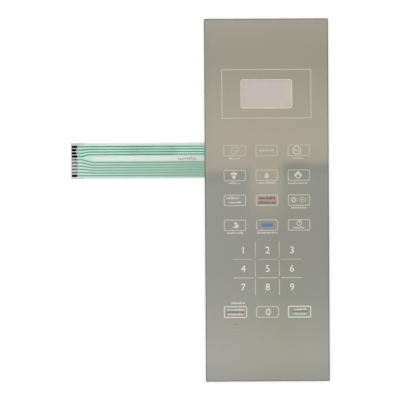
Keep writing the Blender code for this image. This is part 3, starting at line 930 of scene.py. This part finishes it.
def add_camera():
    """The camera looks down on the part, as the photograph does."""
    data = bpy.data.cameras.new("camera")
    data.sensor_width = SENSOR_WIDTH
    data.lens = SENSOR_WIDTH * FOCAL_PIXELS / IMAGE_PIXELS
    camera = add_object("camera", data)
    camera.location = CAMERA_PLACE
    camera.rotation_euler = [math.radians(angle) for angle in CAMERA_TURN]
    bpy.context.scene.camera = camera


# Reflecting card: height, size, and how wide the rim is that fades into the surround
CARD_HEIGHT = 0.08
CARD_WIDTH = 0.28
CARD_LENGTH = 0.46
CARD_RIM = 0.06

# The shades that the card gives the face, from the face's foot to its head
COOL_STOPS = (
    (-0.1435, (158, 159, 151)),
    (-0.1240, (169, 168, 161)),
    (-0.1080, (165, 165, 156)),
    (-0.0980, (162, 162, 153)),
    (-0.0770, (155, 156, 148)),
    (-0.0490, (151, 151, 146)),
    (-0.0110, (151, 151, 146)),
    (0.0240, (153, 154, 147)),
)
WARM_STOPS = (
    (-0.0200, (163, 160, 146)),
    (0.0150, (169, 164, 150)),
    (0.0490, (175, 168, 154)),
    (0.0700, (171, 165, 151)),
    (0.1090, (158, 154, 140)),
    (0.1230, (159, 154, 140)),
    (0.1400, (164, 161, 147)),
)

# How the shades change across the face, from its left edge to its right one
COOL_ACROSS = (
    (-0.046, (1.0, 1.0, 1.05)),
    (-0.039, (1.0, 1.0, 1.0)),
    (-0.015, (0.97, 0.97, 0.93)),
    (0.012, (0.91, 0.92, 0.82)),
    (0.036, (0.92, 0.93, 0.87)),
    (0.044, (0.89, 0.91, 0.91)),
)
WARM_ACROSS = (
    (-0.046, (0.94, 0.97, 0.96)),
    (-0.039, (1.0, 1.0, 1.0)),
    (-0.015, (1.0, 0.985, 0.97)),
    (0.012, (0.985, 0.975, 0.95)),
    (0.036, (0.97, 0.96, 0.93)),
    (0.044, (0.94, 0.95, 0.92)),
)

# The share of the card's glow that the face mirrors, and what it shows without the card
SHEEN = (0.47, 0.46, 0.43)
BASE_SHEEN = (0.067, 0.065, 0.060)

# Strength of the white surround
WORLD_STRENGTH = 0.95

# Border between warm and cool: its height, its rise to the right, how soft it is, and a bulge
BORDER_Y = 0.0259
BORDER_SLOPE = 0.065
BORDER_BLUR = 0.002
BULGE_HEIGHT = 0.0025
BULGE_LEFT_X = (0.011, 0.019)
BULGE_RIGHT_X = (0.033, 0.042)

# How much darker the cool part is just below the border, and there under the bulge
DIP = 0.13
BULGE_DIP = 0.10
DIP_BELOW = (0.0125, 0.0065)

# Warm tongue that runs down the middle: its sides, how soft each is, and where it fades out
TONGUE_LEFT_X = -0.0135
TONGUE_LEFT_BLUR = 0.005
TONGUE_RIGHT_X = 0.0125
TONGUE_RIGHT_BLUR = 0.004
TONGUE_FADE_Y = (-0.03, 0.015)


def mirrored(axis, at):
    """Place on the card, along one axis, that the face shows the camera at a place of its own."""
    rise = (CARD_HEIGHT - FILM_TOP) / (CAMERA_PLACE[2] - FILM_TOP)
    return at + (at - CAMERA_PLACE["XY".index(axis)]) * rise


def glow_for(shade):
    """The card's glow that gives the face a shade, named by its 0 to 255 values."""
    wanted = srgb(*shade)
    return tuple((w - base) / sheen for w, base, sheen in zip(wanted, BASE_SHEEN, SHEEN))


def card_material():
    """The card's glow: a cool part below, a warm one above, and the surround's white rim."""
    made = Nodes("card_glow")
    made.tree.nodes.clear()
    x, y = made.position("X"), made.position("Y")

    def smooth(factor, start, end):
        return made.rise(factor, start, end, "SMOOTHSTEP")

    def run(axis, stops):
        return made.stops(axis, [(mirrored(axis, at), colour) for at, colour in stops])

    def shades(stops, across):
        upright = run("Y", [(at, glow_for(shade)) for at, shade in stops])
        return made.mix(1.0, upright, run("X", across), "MULTIPLY")

    bulge = made.maths("SUBTRACT", smooth(x, *BULGE_LEFT_X), smooth(x, *BULGE_RIGHT_X))
    level = made.maths("SUBTRACT", y, made.maths("MULTIPLY", x, BORDER_SLOPE))
    level = made.maths("SUBTRACT", level, made.maths("MULTIPLY", bulge, BULGE_HEIGHT))
    border = mirrored("Y", BORDER_Y)
    above = smooth(level, border - BORDER_BLUR, border + BORDER_BLUR)

    left, right = mirrored("X", TONGUE_LEFT_X), mirrored("X", TONGUE_RIGHT_X)
    from_left = smooth(x, left - TONGUE_LEFT_BLUR, left + TONGUE_LEFT_BLUR)
    from_right = smooth(x, right - TONGUE_RIGHT_BLUR, right + TONGUE_RIGHT_BLUR)
    column = made.maths("SUBTRACT", from_left, from_right)
    fade = smooth(y, *(mirrored("Y", at) for at in TONGUE_FADE_Y))
    tongue = made.maths("MULTIPLY", column, fade)
    warmth = made.maths("MAXIMUM", above, tongue)

    depth = made.maths("ADD", made.maths("MULTIPLY", bulge, BULGE_DIP), DIP)
    below = smooth(level, border - DIP_BELOW[0], border - DIP_BELOW[1])
    dip = made.maths("MULTIPLY", below, depth)
    cool = made.mix(dip, shades(COOL_STOPS, COOL_ACROSS), (0.0, 0.0, 0.0))
    shaded = made.mix(warmth, cool, shades(WARM_STOPS, WARM_ACROSS))

    fades = []
    for place, half in ((x, CARD_WIDTH / 2), (y, CARD_LENGTH / 2)):
        fades.append(smooth(made.maths("ABSOLUTE", place), half - CARD_RIM, half))
    surround = (WORLD_STRENGTH, WORLD_STRENGTH, WORLD_STRENGTH)
    glow = made.node("ShaderNodeEmission")
    made.feed(glow.inputs["Color"], made.mix(made.maths("MAXIMUM", *fades), shaded, surround))
    output = made.node("ShaderNodeOutputMaterial")
    made.feed(output.inputs["Surface"], glow.outputs["Emission"])
    return made.material


def add_card():
    """A soft card near the part, which only reflections see."""
    bpy.ops.mesh.primitive_plane_add(size=1.0, location=(0.0, 0.0, CARD_HEIGHT))
    card = bpy.context.object
    card.name = "reflecting_card"
    for vertex in card.data.vertices:
        vertex.co.x *= CARD_WIDTH
        vertex.co.y *= CARD_LENGTH
    card.data.materials.append(card_material())
    card.visible_camera = False
    card.visible_diffuse = False
    card.visible_shadow = False
    card.visible_transmission = False


# Lamp: its width, its power, where it hangs, and how it is turned in degrees
LAMP_SIZE = 1.2
LAMP_ENERGY = 8.0
LAMP_PLACE = (-0.5, 0.6, 1.8)
LAMP_TURN = (-20, -16, 0)


def add_light():
    """An even white surround and one broad soft lamp."""
    world = bpy.data.worlds.new("studio")
    world.use_nodes = True
    background = world.node_tree.nodes["Background"]
    background.inputs["Color"].default_value = (1.0, 1.0, 1.0, 1.0)
    background.inputs["Strength"].default_value = WORLD_STRENGTH
    bpy.context.scene.world = world
    data = bpy.data.lights.new("soft_lamp", "AREA")
    data.shape = "DISK"
    data.size = LAMP_SIZE
    data.energy = LAMP_ENERGY
    lamp = add_object("soft_lamp", data)
    lamp.location = LAMP_PLACE
    lamp.rotation_euler = [math.radians(angle) for angle in LAMP_TURN]
    lamp.visible_glossy = False


def build():
    """Dress the frame and set the studio."""
    bpy.context.scene.view_settings.view_transform = "Standard"
    finish_nodes()
    tail_tints()
    add_print()
    add_floor()
    add_card()
    add_light()
    add_camera()


build()
